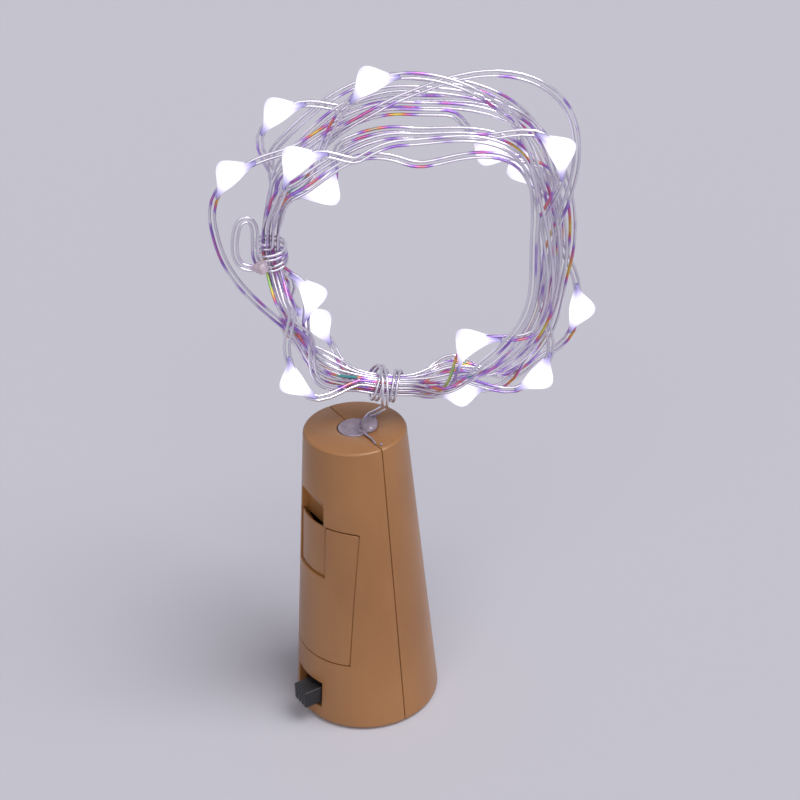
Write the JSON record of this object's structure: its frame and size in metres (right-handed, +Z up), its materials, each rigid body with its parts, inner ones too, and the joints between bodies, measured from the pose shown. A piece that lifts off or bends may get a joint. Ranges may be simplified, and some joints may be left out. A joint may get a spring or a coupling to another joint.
{
  "type": "bottle light",
  "caption": "Cork-shaped battery stopper with a slide switch and a battery door, and a string of light drops on fine wire, tied as a ring.",
  "frame": {"origin": "middle of the stopper's wide end, on the surface it stands on", "axes": "+Z up along the stopper's axis towards its narrow end and the wires, -Y towards the battery door and the switch"},
  "size_m": [0.0299, 0.0461, 0.0988],
  "materials": {
    "stopper_abs": "satin moulded ABS, cork brown",
    "cell_steel": "plated steel can",
    "contact_nickel": "nickel-plated spring steel",
    "switch_phenolic": "phenolic board",
    "switch_brass": "stamped brass",
    "knob_nylon": "black nylon",
    "lead_pvc_black": "PVC insulation",
    "lead_pvc_red": "PVC insulation",
    "resistor_body": "lacquered resistor",
    "hot_glue": "translucent hot-melt glue",
    "string_wire": "silvered copper wire under clear enamel",
    "led_epoxy": "clear epoxy drop, lit white"
  },
  "bodies": {
    "stopper": {"front_shell": "stopper_abs", "rear_shell": "stopper_abs", "button_cell_1": "cell_steel", "button_cell_2": "cell_steel", "button_cell_3": "cell_steel", "negative_contact_plate": "contact_nickel", "positive_contact_plate": "contact_nickel", "negative_spring": "contact_nickel", "switch_housing": "contact_nickel", "switch_board": "switch_phenolic", "switch_pin_1": "switch_brass", "switch_pin_2": "switch_brass", "switch_pin_3": "switch_brass", "battery_lead": "lead_pvc_black", "string_lead": "lead_pvc_red", "series_resistor": "resistor_body", "glue_plug": "hot_glue", "string_wire_negative": "string_wire", "string_wire_positive": "string_wire", "led_bead_01": "led_epoxy", "led_bead_02": "led_epoxy", "led_bead_03": "led_epoxy", "led_bead_04": "led_epoxy", "led_bead_05": "led_epoxy", "led_bead_06": "led_epoxy", "led_bead_07": "led_epoxy", "led_bead_08": "led_epoxy", "led_bead_09": "led_epoxy", "led_bead_10": "led_epoxy", "led_bead_11": "led_epoxy", "led_bead_12": "led_epoxy", "led_bead_13": "led_epoxy", "led_bead_14": "led_epoxy", "led_bead_15": "led_epoxy", "string_end_drop": "led_epoxy"},
    "door": {"battery_door": "stopper_abs"},
    "slider": {"switch_slider": "knob_nylon", "switch_wiper": "switch_brass"}
  },
  "joints": [
    {"name": "door_tip", "type": "hinge", "parent": "stopper", "child": "door", "pos_m": [0, -0.00967, 0.0116], "axis": [1, 0, 0], "range_deg": [0, 60]},
    {"name": "switch_slide", "type": "slide", "parent": "stopper", "child": "slider", "axis": [-1, 0, 0], "range_m": [0, 0.003]}
  ]
}
